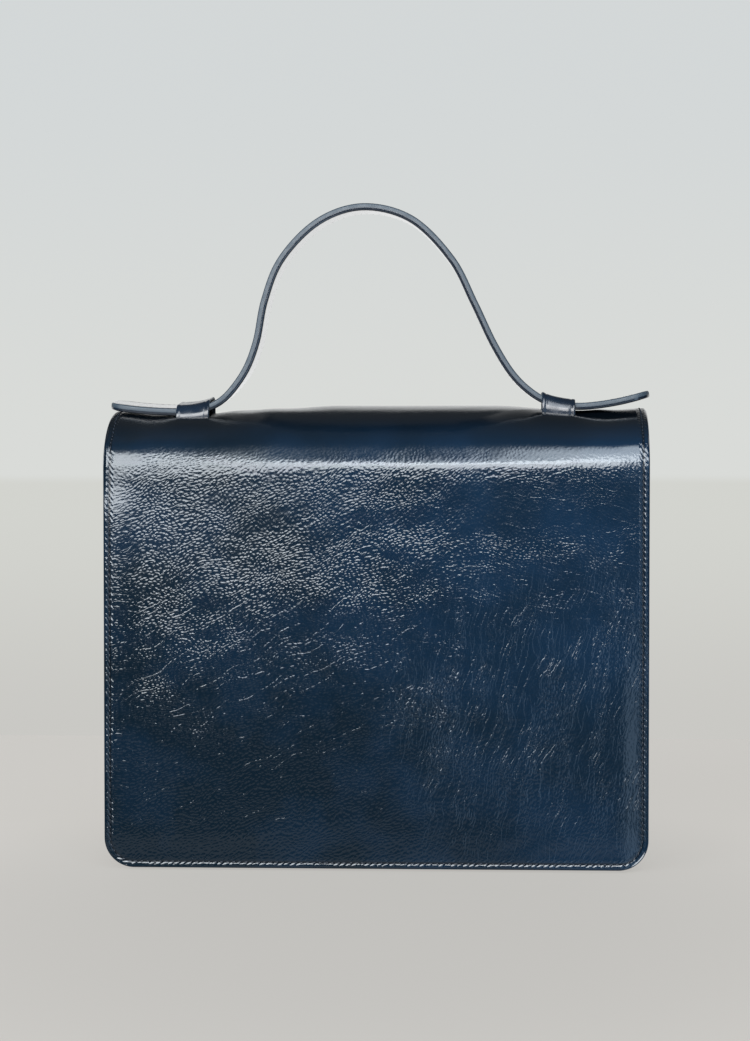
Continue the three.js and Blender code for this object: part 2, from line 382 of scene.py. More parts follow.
def thread_material():
    """Waxed navy thread: two twisted strands, dull in the twist and shiny on top."""
    material, shade = new_shade("navy_thread")
    spot = shade.add("ShaderNodeTexCoord", {}, {}, output="Object")
    twist = shade.add("ShaderNodeTexNoise", {}, {"Vector": spot, "Scale": 1800.0, "Detail": 1.0})
    lighter = tuple(1.8 * value for value in THREAD_NAVY[:3]) + (1.0,)
    colour = twist.ramp(0.35, 0.65).blend(THREAD_NAVY, lighter)
    bump = shade.add("ShaderNodeBump", {"invert": True}, {"Distance": 0.1 * MM, "Height": twist})
    sockets = {
        "Base Color": colour,
        "Roughness": twist.ramp(0.3, 0.7, 0.40, 0.55),
        "Specular IOR Level": 0.35,
        "Normal": bump,
    }
    finish_shade(shade, sockets)
    return material


def stitch_tree():
    """Geometry nodes: one slanted stitch at every pitch along a seam line, facing as the line says."""
    tree = bpy.data.node_groups.new("stitch_row", "GeometryNodeTree")
    tree.interface.new_socket("Seam", in_out="INPUT", socket_type="NodeSocketGeometry")
    for name in ("Pitch", "Length", "Width", "Slant"):
        tree.interface.new_socket(name, in_out="INPUT", socket_type="NodeSocketFloat")
    tree.interface.new_socket("Thread", in_out="INPUT", socket_type="NodeSocketMaterial")
    tree.interface.new_socket("Stitches", in_out="OUTPUT", socket_type="NodeSocketGeometry")
    entry = tree.nodes.new("NodeGroupInput")
    given = {socket.name: Shade(tree, socket) for socket in entry.outputs if socket.name}
    make = Shade(tree).add

    curve = make("GeometryNodeMeshToCurve", {}, {"Mesh": given["Seam"]})
    settings = {"mode": "LENGTH"}
    row = make("GeometryNodeResampleCurve", settings, {"Curve": curve, "Length": given["Pitch"]})
    tangent = make("GeometryNodeInputTangent", {}, {})
    facing = make("GeometryNodeInputNamedAttribute", {"data_type": "FLOAT_VECTOR"}, {"Name": "facing"})
    settings = {"primary_axis": "X", "secondary_axis": "Z"}
    sockets = {"Primary Axis": tangent, "Secondary Axis": facing}
    turned = make("FunctionNodeAxesToRotation", settings, sockets)
    chance = {"data_type": "FLOAT"}
    sockets = {2: -STITCH_WOBBLE, 3: STITCH_WOBBLE, "Seed": 7}
    wobble = make("FunctionNodeRandomValue", chance, sockets, output=1)
    sockets = {2: STITCH_UNEVEN[0], 3: STITCH_UNEVEN[1], "Seed": 11}
    uneven = make("FunctionNodeRandomValue", chance, sockets, output=1)
    slant = make("ShaderNodeCombineXYZ", {}, {"Z": given["Slant"] + wobble})
    lean = make("FunctionNodeEulerToRotation", {}, {"Euler": slant})
    settings = {"rotation_space": "LOCAL"}
    turned = make("FunctionNodeRotateRotation", settings, {"Rotation": turned, "Rotate By": lean})
    sockets = {
        "X": given["Length"] * uneven * 0.5,
        "Y": given["Width"] * 0.5,
        "Z": given["Width"] * STITCH_HEIGHT_SHARE,
    }
    half_sizes = make("ShaderNodeCombineXYZ", {}, sockets)
    strand = make("GeometryNodeMeshUVSphere", {}, {"Segments": 8, "Rings": 6, "Radius": 1.0})
    sockets = {"Points": row, "Instance": strand, "Rotation": turned, "Scale": half_sizes}
    stitches = make("GeometryNodeInstanceOnPoints", {}, sockets)
    stitches = make("GeometryNodeRealizeInstances", {}, {"Geometry": stitches})
    stitches = make("GeometryNodeSetShadeSmooth", {}, {"Geometry": stitches})
    sockets = {"Geometry": stitches, "Material": given["Thread"]}
    stitches = make("GeometryNodeSetMaterial", {}, sockets)
    way_out = tree.nodes.new("NodeGroupOutput")
    tree.links.new(stitches.socket, way_out.inputs["Stitches"])
    return tree


navy_thread = thread_material()
stitch_row = stitch_tree()


def sew(name, seams, pitch=STITCH_PITCH, width=STITCH_WIDTH):
    """Stitches along seam lines, each line given by its points and facings in mm."""
    points = []
    facings = []
    edges = []
    for seam_points, seam_facings in seams:
        first = len(points)
        points += (np.array(seam_points) * MM).tolist()
        facings += np.array(seam_facings).tolist()
        edges += [(k, k + 1) for k in range(first, len(points) - 1)]
    mesh = bpy.data.meshes.new(name)
    mesh.from_pydata(points, edges, [])
    flat = np.array(facings, np.float32).ravel()
    mesh.attributes.new("facing", "FLOAT_VECTOR", "POINT").data.foreach_set("vector", flat)
    row = bpy.data.objects.new(name, mesh)
    bpy.context.collection.objects.link(row)
    modifier = row.modifiers.new("stitches", "NODES")
    modifier.node_group = stitch_row
    inputs = {
        "Pitch": pitch * MM,
        "Length": STITCH_LENGTH * MM,
        "Width": width * MM,
        "Slant": STITCH_SLANT,
        "Thread": navy_thread,
    }
    for item in stitch_row.interface.items_tree:
        if item.in_out == "INPUT" and item.name in inputs:
            modifier[item.identifier] = inputs[item.name]
    evaluated = row.evaluated_get(bpy.context.evaluated_depsgraph_get())
    stitched = bpy.data.meshes.new_from_object(evaluated)
    row.modifiers.clear()
    row.data = stitched
    row.data.name = name
    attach(row, "root")


def raised(surface, across, run, lift):
    """A seam line over a surface, `lift` mm from the middle of its wall."""
    points, normals = with_normals(surface, np.asarray(across, float), np.asarray(run, float))
    return points + normals * np.asarray(lift)[..., None], normals


def hem_lines(half, corner, top, inset):
    """Places (across, run) from the middle of a sheet's low end, up each of its sides to `top`."""
    radius = corner - inset
    turn = np.linspace(0.0, math.pi / 2, 14)
    end = np.arange(0.0, half - corner, SEAM_STEP)
    up = np.arange(corner + SEAM_STEP, top, SEAM_STEP)
    across = np.concatenate([end, half - corner + radius * np.sin(turn), np.full(len(up), half - inset)])
    run = np.concatenate([np.full(len(end), inset), corner - radius * np.cos(turn), up])
    return (-across, run), (across, run)


def put_on(piece, node, material):
    """The piece gets its leather and stands for a node of the solid model."""
    piece.data.materials.append(material)
    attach(piece, "root")
    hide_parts(node)


case_leather = leather("case_calf", (CASE_DEEP, CASE_NAVY, EDGE_PAINT), CASE_ROUGHNESS, smooth_grain)

back_low, back_high = box_in_mm("back_panel")
case_half = back_high[0]
back_foot = back_low[2]
back_y = back_high[1] - PANEL_BELLY - PANEL_WALL / 2


def back_panel_middle(across, run):
    z = back_foot + run
    bulge = (1 - (across / case_half) ** 2) * (1 - np.clip(2 * z / TAIL_END - 1, -1, 1) ** 2)
    return np.stack([-across, back_y + PANEL_BELLY * bulge, z], -1)


def case_wall(node, middle, length, seam_top):
    """One wall of the case: its sheet of leather, and stitches round its edge up to `seam_top`."""
    panel = leather_sheet(
        node + "_leather",
        middle,
        run=stops(length, PANEL_STEP, PLAIN_GRADING),
        across=stops(2 * case_half, PANEL_STEP, PLAIN_GRADING) - case_half,
        corners=(CASE_CORNER, SQUARE_CORNER),
        wall=PANEL_WALL,
        rim=PANEL_RIM,
    )
    put_on(panel, node, case_leather)
    seams = []
    for line in hem_lines(case_half, CASE_CORNER, seam_top, CASE_STITCH_INSET):
        seams.append(raised(middle, *line, PANEL_WALL / 2 + STITCH_LIFT))
    sew(node + "_stitches", seams)


back_length = back_high[2] - back_foot
case_wall("back_panel", back_panel_middle, back_length, TAIL_END - SEAM_STOP - back_foot)


# Gusset: one long strip of the same calf that makes both sides and the bottom of the case. Its sides fold
# in a little between the panels, and its ends are cut to slope from the back panel to the front one.

GUSSET_WALL = 1.8
GUSSET_RIM = 0.7
GUSSET_STEP = 1.8
GUSSET_BOW = 3.0
GUSSET_TOP_SAG = 2.0

gusset_low, gusset_high = box_in_mm("gusset")
front_low, front_high = box_in_mm("front_panel")
gusset_mid_y = (gusset_low[1] + gusset_high[1]) / 2
gusset_half_depth = (gusset_high[1] - gusset_low[1]) / 2
gusset_side = case_half - GUSSET_WALL / 2
gusset_corner = CASE_CORNER - GUSSET_WALL / 2
gusset_front_top = front_high[2]
gusset_back_top = gusset_high[2]
gusset_side_length = gusset_back_top - CASE_CORNER
gusset_turn_length = gusset_corner * math.pi / 2
gusset_bottom_length = 2 * (gusset_side - gusset_corner)
gusset_length = 2 * (gusset_side_length + gusset_turn_length) + gusset_bottom_length


def gusset_middle(across, run):
    share = np.clip((across / gusset_half_depth + 1) / 2, 0, 1)
    sag_top = gusset_front_top + GUSSET_TOP_SAG
    top = (1 - share) ** 2 * gusset_front_top + share ** 2 * gusset_back_top
    top = top + 2 * share * (1 - share) * sag_top
    from_middle = run - gusset_length / 2
    reach = np.abs(from_middle)
    half_bottom = gusset_bottom_length / 2
    turn = np.clip((reach - half_bottom) / gusset_corner, 0, math.pi / 2)
    climb = np.maximum(reach - half_bottom - gusset_turn_length, 0) / gusset_side_length
    z = GUSSET_WALL / 2 + gusset_corner * (1 - np.cos(turn)) + climb * (top - CASE_CORNER)
    x = np.minimum(reach, half_bottom) + gusset_corner * np.sin(turn)
    fold = 1 - np.clip(across / gusset_half_depth, -1, 1) ** 2
    x = x - GUSSET_BOW * fold * smoothstep(z, CASE_CORNER, gusset_front_top)
    return np.stack([np.sign(from_middle) * x, gusset_mid_y + across, z], -1)


gusset = leather_sheet(
    "gusset_leather",
    gusset_middle,
    run=stops(gusset_length, PANEL_STEP, PLAIN_GRADING),
    across=stops(2 * gusset_half_depth, GUSSET_STEP, PLAIN_GRADING) - gusset_half_depth,
    corners=(SQUARE_CORNER, SQUARE_CORNER),
    wall=GUSSET_WALL,
    rim=GUSSET_RIM,
)
put_on(gusset, "gusset", case_leather)

gusset_rows = []
side_run = np.arange(SEAM_STOP, gusset_side_length, 1.0)
for run in (side_run, gusset_length - side_run):
    for side in (-1, 1):
        across = np.full(len(run), side * (gusset_half_depth - CASE_STITCH_INSET))
        gusset_rows.append(raised(gusset_middle, across, run, GUSSET_WALL / 2 + STITCH_LIFT))
sew("gusset_stitches", gusset_rows)


# Front panel: the inner front wall of the case, behind the flap and lower than it, of the same calf. It
# hides behind the closed flap, and only its edges show from the side.

front_foot = front_low[2]
front_y = front_low[1] + PANEL_BELLY + PANEL_WALL / 2
front_length = front_high[2] - front_foot


def front_panel_middle(across, run):
    z = front_foot + run
    bulge = (1 - (across / case_half) ** 2) * (1 - np.clip(z / front_high[2] - 1, -1, 1) ** 2)
    return np.stack([across, front_y - PANEL_BELLY * bulge, z], -1)


case_wall("front_panel", front_panel_middle, front_length, front_length - SEAM_STOP)


# Magnet clasp: a plain brushed steel disc between the flap and the front panel that holds the flap shut.
# It stays the solid model's own disc, with fine marks in its brushed face.

CLASP_DARK = (0.52, 0.52, 0.54, 1.0)
CLASP_LIGHT = (0.66, 0.66, 0.68, 1.0)

clasp_metal, shade = new_shade("brushed_steel")
spot = shade.add("ShaderNodeTexCoord", {}, {}, output="Object")
marks = shade.add("ShaderNodeTexNoise", {}, {"Vector": spot, "Scale": 900.0, "Detail": 3.0})
sockets = {
    "Base Color": marks.ramp(0.3, 0.7).blend(CLASP_DARK, CLASP_LIGHT),
    "Roughness": marks.ramp(0.3, 0.7, 0.28, 0.42),
    "Metallic": 1.0,
}
finish_shade(shade, sockets)
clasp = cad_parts["magnet_clasp"]
clasp.data.materials.clear()
clasp.data.materials.append(clasp_metal)


# Flap: the one large sheet of glossy crinkled navy calf. It is sewn to the back panel, bends softly over
# the top and hangs down the whole front. Its edge is turned and stitched, with puckers at the thread.

FLAP_WALL = 2.4
FLAP_RIM = 1.1
FLAP_CORNER = 10.5
FRONT_BEND_RISE = 18.0
FRONT_BEND_REACH = 38.0
REAR_BEND_RISE = 14.0
FLAP_TOP = 159.2
FRONT_CROWN = 1.2
DOME_RISE = 3.2
DOME_LEFT_END = (36.0, 66.0)
DOME_RIGHT_END = (42.0, 72.0)
SHOULDER_RISE = 1.1
SHOULDER_SPAN = (30.0, 60.0)
RIM_LIFT = 1.2
RIM_SPAN = (80.0, 94.0)
STITCH_INSET = 2.2
FLAP_STITCH_LIFT = 0.1
TAIL_ROW_INSETS = (STITCH_INSET, 2 * STITCH_INSET + 1.0)
TAIL_ROW_STOP = 4.5
GROOVE_DEPTH = 0.15
GROOVE_WIDTH = 0.48
LOOP_PLACES = (-66.0, 64.0)
FLAP_STEPS = (0.72, 0.9)
FRONT_POINTS = 2000
BEND_POINTS = 1500
TAIL_POINTS = 400
NOISE_KNOTS = 64

# Low relief: broad waves, ripples, slanted creases, the pull at the loops, the rim and the sides' roll
WAVE_DEPTH = 0.04
RIPPLE_DEPTH = 0.03
SLANT_DEPTH = 0.02
PULL_RISE = 0.9
RIM_SWELL = 0.03
LEFT_ROLL = 1.4
RIGHT_ROLL = 0.25
RIGHT_EDGE_FALL = 0.8

# Bump of the grain: pebbles, the folds between their rows, and thin upright creases
PEBBLE_HEIGHT = 0.097
FOLD_HEIGHT = 0.034
CREASE_LINE_HEIGHT = 0.06

# Slack of the leather under the bend: how far below its foot it starts, its length and its depth
SLACK_LEFT = (4.3, 8.5, 0.55)
SLACK_MIDDLE = (1.3, 7.0, 0.75)
SLACK_RIGHT = (1.6, 6.0, 0.35)

FLAP_NAVY = (0.0036, 0.0140, 0.0325, 1.0)
FLAP_DEEP = (0.0016, 0.0056, 0.0105, 1.0)
# Painted shade, laid over the top of the flap and along the stitch groove
FLAP_PAINTED_SHADE = (0.0014, 0.0026, 0.0042, 1.0)
FLAP_EDGE = (0.010, 0.019, 0.032, 1.0)
FLAP_SHEEN = (0.90, 0.96, 1.0, 1.0)

flap_low, flap_high = box_in_mm("flap")
flap_half = flap_high[0]
flap_hem = flap_low[2]
flap_front = flap_low[1]
flap_back = flap_high[1]
crest_y = flap_front + FRONT_BEND_REACH
rear_reach = flap_back - crest_y
bend_foot = FLAP_TOP - FRONT_BEND_RISE
rear_foot = FLAP_TOP - REAR_BEND_RISE
bend_run = bend_foot - flap_hem


def flap_side_line():
    """The outer face seen from the side (y, z), from the hem over the top to the tail, and its lengths."""
    up = np.linspace(0.0, math.pi / 2, BEND_POINTS)[1:]
    front_bend = np.stack(
        [crest_y - FRONT_BEND_REACH * np.cos(up), bend_foot + FRONT_BEND_RISE * np.sin(up)], -1
    )
    rear_bend = np.stack([crest_y + rear_reach * np.sin(up), rear_foot + REAR_BEND_RISE * np.cos(up)], -1)
    front_z = np.linspace(flap_hem, bend_foot, FRONT_POINTS)
    tail_z = np.linspace(rear_foot, TAIL_END, TAIL_POINTS + 1)[1:]
    front = np.stack([np.full(FRONT_POINTS, flap_front), front_z], -1)
    tail = np.stack([np.full(TAIL_POINTS, flap_back), tail_z], -1)
    line = np.concatenate([front, front_bend, rear_bend, tail])
    return line, lengths_along(line)


side_line, side_lengths = flap_side_line()
flap_length = side_lengths[-1]
side_way = np.gradient(side_line, side_lengths, axis=0)
side_middle = side_line + FLAP_WALL / 2 * np.stack([side_way[:, 1], -side_way[:, 0]], -1)


def flap_middle(across, run):
    y = np.interp(run, side_lengths, side_middle[:, 0])
    z = np.interp(run, side_lengths, side_middle[:, 1])
    front_share = np.clip(y / flap_front, 0, 1)
    top_share = smoothstep(z, bend_foot, FLAP_TOP)
    up = np.clip(2 * z / FLAP_TOP - 1, -1, 1)
    setback = FRONT_CROWN * (1 - (1 - np.clip(across / flap_half, -1, 1) ** 2) * (1 - up ** 2))
    reach = np.abs(across)
    beside_dome = SHOULDER_RISE * smoothstep(across, *SHOULDER_SPAN)
    past_dome = np.where(across < 0, smoothstep(reach, *DOME_LEFT_END), smoothstep(reach, *DOME_RIGHT_END))
    lift = DOME_RISE + (beside_dome - DOME_RISE) * past_dome + RIM_LIFT * smoothstep(reach, *RIM_SPAN)
    return np.stack([across + 0 * y, y + setback * front_share, z + lift * top_share], -1)


def soft_noise(across, along, seed):
    """Smooth random heights from -1 to 1, with one knot to each unit of length."""
    knots = np.random.default_rng(seed).uniform(-1, 1, (NOISE_KNOTS, NOISE_KNOTS))
    i, j = np.floor(across).astype(int), np.floor(along).astype(int)
    u, v = smoothstep(across - i, 0, 1), smoothstep(along - j, 0, 1)
    i0, i1, j0, j1 = (knot % NOISE_KNOTS for knot in (i, i + 1, j, j + 1))
    low = knots[i0, j0] * (1 - u) + knots[i1, j0] * u
    high = knots[i0, j1] * (1 - u) + knots[i1, j1] * u
    return low * (1 - v) + high * v


def bend_slack(across, run):
    """How far the leather falls back under the bend, and at the sides where the edges roll in."""
    left = smoothstep(-across, 10, 65)
    right = smoothstep(across, 35, 80)
    shares = np.stack([left, 1 - left - right, right], -1)
    early, length, depth = np.moveaxis(shares @ np.array([SLACK_LEFT, SLACK_MIDDLE, SLACK_RIGHT]), -1, 0)
    start = bend_run - early
    slack = depth * smoothstep((run - start) / length, 0, 1) * (1 - smoothstep(run, 150, 178))
    roll = LEFT_ROLL * smoothstep(-across, 79, 92) * smoothstep(run, 120, 139)
    roll = roll + RIGHT_ROLL * smoothstep(across, 84, 95) * smoothstep(run, 113, 141)
    swell = 0.3 + 0.6 * smoothstep(-across, 30, 85) + 0.6 * smoothstep(across, 0, 70)
    swell = swell * hump(run, bend_run + 8.6, 4.3)
    return slack - swell + roll * (1 - smoothstep(run, 150, 172))


def flap_relief(across, run, inset):
    """Low waves of the leather, its slack, its shape on top and at the edges, and the stitches' groove."""
    waves = WAVE_DEPTH * soft_noise(across / 26, run / 20, 1)
    waves = waves + RIPPLE_DEPTH * soft_noise(across / 11, run / 9, 2)
    creases = SLANT_DEPTH * soft_noise((across + 0.7 * run) / 14, (run - 0.5 * across) / 4.2, 3)
    over_top = smoothstep(run, 168, 182) * (1 - smoothstep(run, 200, 220))
    hollow = smoothstep(-across, 14, 34) * (1 - smoothstep(-across, 42, 54))
    strap_rest = 0.75 * hump(across, 79, 6.5) + 0.22 * hump(across, 70, 3)
    strap_rest = strap_rest + 0.15 * smoothstep(-across, 68, 72) * (1 - smoothstep(-across, 88, 93))
    right_edge = RIGHT_EDGE_FALL * smoothstep(across, 85, 94) * (1 - smoothstep(run, 45, 100))
    foot = 0.07 + 0.42 * smoothstep(-across, 10, 70) + 0.12 * smoothstep(across, 50, 90)
    beside_loop = np.minimum(*(np.abs(across - middle) for middle in LOOP_PLACES))
    pull = PULL_RISE * (1 - smoothstep(beside_loop, 4, 13)) * hump(run, 166.5, 6)
    fall = bend_slack(across, run) + (hollow - strap_rest) * over_top + right_edge
    fall = fall + foot * (1 - smoothstep(run, 3, 13)) - pull
    groove = GROOVE_DEPTH * hump(inset, STITCH_INSET, GROOVE_WIDTH)
    rim = RIM_SWELL * hump(inset, FLAP_RIM, 0.4)
    low_relief = (waves + creases) * smoothstep(inset, 2.5, 8.0)
    return low_relief - fall * smoothstep(inset, 0.0, 0.8) - groove + rim


def crinkles(place):
    """Crinkled calf: small pebbles in rows that lie level at the left edge, rise in the middle, fall again
    beside it and stand upright at the right, among thin upright creases. They flatten over the bend."""
    x = place.part("X")
    run = place.part("Y")
    bent = warped(warped(place, 2.6, 0.06, 5.0), 0.3, 0.5, 9.0)
    level = x.ramp(-93.0, -80.0, 1.0, 0.0)
    bow = run - 50.0
    right = (x - bow * bow * 0.0055).ramp(-2.0, 22.0)
    high = run.ramp(62.0, 112.0)
    bundles = place.stretched(84.0, 60.0, 9.0, 31.0).noise(1.0, detail=1.0).ramp(0.38, 0.66, 0.65, 1.3)
    under_band = run.ramp(110.0, 126.0) * x.ramp(-80.0, -35.0)
    fringe = run.ramp(133.0, 138.0) * run.ramp(140.0, 146.0, 1.0, 0.0)
    pebbled = run.ramp(30.0, 100.0, 0.59, 0.83)
    pebbled = pebbled * x.ramp(-66.0, -12.0, 0.94, 0.72) * x.ramp(8.0, 40.0, 1.0, 0.57)
    pebbled = pebbled * (1.0 - under_band * 0.38) + fringe * 0.2
    upright = (right * (1.0 - high)) ** 0.6 * bundles * run.ramp(5.0, 30.0, 0.35, 0.8)
    island = x.ramp(-2.0, 8.0) * x.ramp(22.0, 36.0, 1.0, 0.0)
    island = island * run.ramp(28.0, 45.0) * run.ramp(80.0, 98.0, 1.0, 0.0)
    # Rows of pebbles: strength, direction in degrees, a pebble's length and width, shift of the pattern
    rows = (
        (level * pebbled * run.ramp(116.0, 130.0, 1.0, 0.4), 4.0, 1.5, 1.0, 17.0),
        ((1.0 - level) * (1.0 - right) ** 0.6 * pebbled, 26.0, 1.4, 1.05, 51.0),
        ((right * high) ** 0.6 * pebbled, -12.0, 1.4, 0.95, 73.0),
        (upright * (0.56 + island * 0.24), 76.0, 1.5, 0.95, 87.0),
    )
    lines = abs(bent.stretched(78.0, 22.0, 2.6, 64.0).noise(1.0, detail=2.0) - 0.5)
    height = upright * lines.ramp(0.0, 0.04, CREASE_LINE_HEIGHT, 0.0)
    for weight, degrees, along, across, shift in rows:
        cell = bent.stretched(degrees, along, across, shift).cells(0.8)
        fold = abs(bent.stretched(degrees + 4.0, 24.0, 4.5, shift).noise(1.0, detail=1.0) - 0.5)
        pebble = cell.ramp(0.0, 0.72, PEBBLE_HEIGHT, 0.0)
        height = height + weight * (pebble + fold.ramp(0.0, 0.035, FOLD_HEIGHT, 0.0))
    patches = place.stretched(30.0, 1.6, 1.0, 23.0).noise(0.05, detail=3.0).ramp(0.3, 0.7, 0.87, 1.07)
    bend = run.ramp(136.0, 146.0, 1.0, 0.4)
    return height * patches * bend


def puckers(shade, pitch):
    """The leather swells unevenly on both sides of the thread at every stitch."""
    place = shade.sheet_place()
    beyond = shade.attribute("inset") - STITCH_INSET
    way = shade.math("SIGN", place.part("X"))
    along = shade.attribute("edge_run") * way - beyond * 1.1
    beat = shade.math("COSINE", along * (2 * math.pi / pitch))
    uneven = place.noise(0.45, detail=2.0).ramp(0.38, 0.62)
    beside = abs(abs(beyond) - 0.9).ramp(0.0, 0.8, 1.0, 0.0)
    up_side = place.part("Y").ramp(6.0, 14.0)
    least = up_side * place.part("X").ramp(-50.0, 50.0, 0.02, 0.06)
    return beat * beside * (least + uneven * 0.06)


FLAP_GRADING = (0.0, 0.06, 0.22, 0.5, 0.8, 1.1, 1.4, 1.7, 1.95, 2.2, 2.45, 2.7, 3.0, 3.5, 4.2)
flap = leather_sheet(
    "flap_leather",
    flap_middle,
    run=stops(flap_length, FLAP_STEPS[0], FLAP_GRADING),
    across=stops(2 * flap_half, FLAP_STEPS[1], FLAP_GRADING) - flap_half,
    corners=(FLAP_CORNER, SQUARE_CORNER),
    wall=FLAP_WALL,
    rim=FLAP_RIM,
    relief=flap_relief,
)

flap_seams = []
for line in hem_lines(flap_half, FLAP_CORNER, flap_length - STITCH_INSET, STITCH_INSET):
    lift = FLAP_WALL / 2 + flap_relief(*line, np.full(len(line[0]), STITCH_INSET))
    flap_seams.append(raised(flap_middle, *line, lift + FLAP_STITCH_LIFT))
seam_length = lengths_along(flap_seams[0][0])[-1]
flap_pitch = seam_length / round(seam_length / STITCH_PITCH)

flap_material, shade = new_shade("crinkled_calf")
place = shade.sheet_place()
x = place.part("X")
run = place.part("Y")
inset = shade.attribute("inset")
cloud = place.stretched(0.0, 1.0, 1.0, 40.0).noise(0.03, detail=3.0).ramp(0.3, 0.7, -0.2, 0.2)
bluer = x.ramp(-60.0, 70.0) * 0.4 + run.ramp(20.0, 130.0) * 0.3 + cloud
colour = bluer.blend(FLAP_DEEP, FLAP_NAVY)
# Painted shade: the colour darkens over the top of the flap, where it turns away from the light, and in the
# groove along the stitches
painted_top_shade = run.ramp(143.0, 166.0)
colour = painted_top_shade.blend(colour, FLAP_PAINTED_SHADE)
painted_groove_shade = abs(inset - STITCH_INSET).ramp(0.2, 0.7, 0.8, 0.0)
colour = painted_groove_shade.blend(colour, FLAP_PAINTED_SHADE)
painted = inset.ramp(0.02, 0.2, 1.0, 0.0)
colour = painted.blend(colour, FLAP_EDGE)
flesh = shade.attribute("inside")
colour = (flesh * (1.0 - painted)).blend(colour, FLESH_SIDE)
gloss = place.noise(0.35, detail=2.0).ramp(0.3, 0.7, 0.10, 0.13) + flesh * 0.4
worn = x.ramp(20.0, -60.0) * run.ramp(70.0, 120.0)
gloss = gloss + run.ramp(133.0, 141.0) * 0.03 + worn * 0.06
height = crinkles(place) * inset.ramp(1.6, 5.0, 0.35, 1.0) + puckers(shade, flap_pitch)
bump = shade.add("ShaderNodeBump", {}, {"Distance": MM, "Height": height})
sockets = {
    "Base Color": colour,
    "Roughness": gloss,
    "Specular IOR Level": 0.5,
    "Specular Tint": FLAP_SHEEN,
    "Normal": bump,
}
finish_shade(shade, sockets)
put_on(flap, "flap", flap_material)

# The pitch is a hair short, so that rounding doesn't drop the last stitch
sew("flap_stitches", flap_seams, pitch=flap_pitch - 1e-4)

tail_rows = []
for from_end in TAIL_ROW_INSETS:
    across = np.arange(-flap_half + TAIL_ROW_STOP, flap_half - TAIL_ROW_STOP, 1.0)
    run = np.full(len(across), flap_length - from_end)
    tail_rows.append(raised(flap_middle, across, run, FLAP_WALL / 2))
sew("flap_tail_stitches", tail_rows)


# Handle strap: a flat strap of two smooth navy calf layers, glued back to back and sewn along both sides,
# with its edges painted grey blue. Both ends are rounded and lie free on the flap, past the loops.

STRAP_WALL = 2.6
STRAP_RIM = 0.7
STRAP_END_CORNER = 6.0
STRAP_ROUGHNESS = 0.30
STRAP_PAINT = 0.6
STRAP_STITCH_INSET = 1.5
STRAP_STITCH_WIDTH = 0.5
STRAP_STITCH_SINK = 0.18
STRAP_UNDER_SINK = 0.185
STRAP_GROOVE_DEPTH = 0.12
STRAP_GROOVE_WIDTH = 0.4
STRAP_STEPS = (1.0, 1.2)
STRAP_ARCH = (-55.0, 53.0)
VARNISH_FROM_MIDDLE = (92.0, 98.0)
ROLL_DEGREES = 4.0
ROLL_SPAN = (-58.0, -40.0)

STRAP_NAVY = (0.006, 0.013, 0.025, 1.0)
STRAP_DEEP = (0.003, 0.007, 0.014, 1.0)
STRAP_EDGE = (0.022, 0.036, 0.050, 1.0)

# Middle line of the strap seen from the front (x, z)
STRAP_LINE = np.array(
    [
        (-96.0, 162.7), (-85.0, 161.4), (-74.0, 160.8), (-66.5, 160.9), (-60.0, 162.6),
        (-55.2, 165.4), (-50.7, 170.2), (-46.8, 176.2), (-43.5, 185.0), (-40.5, 199.7),
        (-34.7, 214.0), (-21.0, 227.8), (-5.9, 232.7), (11.0, 228.7), (26.0, 214.0),
        (34.0, 198.5), (41.2, 183.5), (47.5, 173.5), (52.8, 168.1), (58.5, 164.4),
        (64.5, 162.7), (70.5, 162.1), (77.0, 162.5), (86.0, 164.0), (96.0, 166.6),
    ]
)


def smooth_line(knots, per_span=60):
    """A centripetal spline through the knots, as closely spaced points and their lengths along it."""
    padded = np.concatenate([[2 * knots[0] - knots[1]], knots, [2 * knots[-1] - knots[-2]]])
    share = np.linspace(0.0, 1.0, per_span, endpoint=False)[:, None]
    points = []
    for before, start, end, after in zip(padded[:-3], padded[1:-2], padded[2:-1], padded[3:]):
        d0, d1, d2 = (np.sqrt(np.linalg.norm(step)) for step in (start - before, end - start, after - end))
        leave = ((start - before) / d0 - (end - before) / (d0 + d1) + (end - start) / d1) * d1
        arrive = ((end - start) / d1 - (after - start) / (d1 + d2) + (after - end) / d2) * d1
        bend = 2 * (start - end) + leave + arrive
        swing = 3 * (end - start) - 2 * leave - arrive
        points.append(start + share * leave + share ** 2 * swing + share ** 3 * bend)
    points = np.concatenate(points + [knots[-1:]])
    return points, lengths_along(points)


strap_points, strap_lengths = smooth_line(STRAP_LINE)
strap_length = strap_lengths[-1]
strap_half = box_in_mm("handle_strap")[1][1]


def roll_slope(x):
    return math.tan(math.radians(ROLL_DEGREES)) * (1 - smoothstep(x, *ROLL_SPAN))


def strap_middle(across, run):
    x = np.interp(run, strap_lengths, strap_points[:, 0])
    z = np.interp(run, strap_lengths, strap_points[:, 1])
    return np.stack([x, -across, z - across * roll_slope(x)], -1)


def strap_grain(place):
    return smooth_grain(place) * 0.25


def strap_varnish(place, inside):
    """Varnish on the under side and on the two free ends, past the loops."""
    ends = abs(place.part("Y") - strap_length / 2).ramp(*VARNISH_FROM_MIDDLE)
    return inside + (1.0 - inside) * ends


strap_leather = leather(
    "strap_calf",
    (STRAP_DEEP, STRAP_NAVY, STRAP_EDGE),
    STRAP_ROUGHNESS,
    strap_grain,
    under=STRAP_DEEP,
    under_dullness=-0.16,
    paint=STRAP_PAINT,
    # The lower part of the edge stays unpainted and shows the dark under layer; this dark strip is partly
    # the leather's own colour and partly painted shade along the strap's lower edge
    lip=1.0,
    coat=strap_varnish,
)


def strap_relief(across, run, inset):
    return -STRAP_GROOVE_DEPTH * hump(inset, STRAP_STITCH_INSET, STRAP_GROOVE_WIDTH)


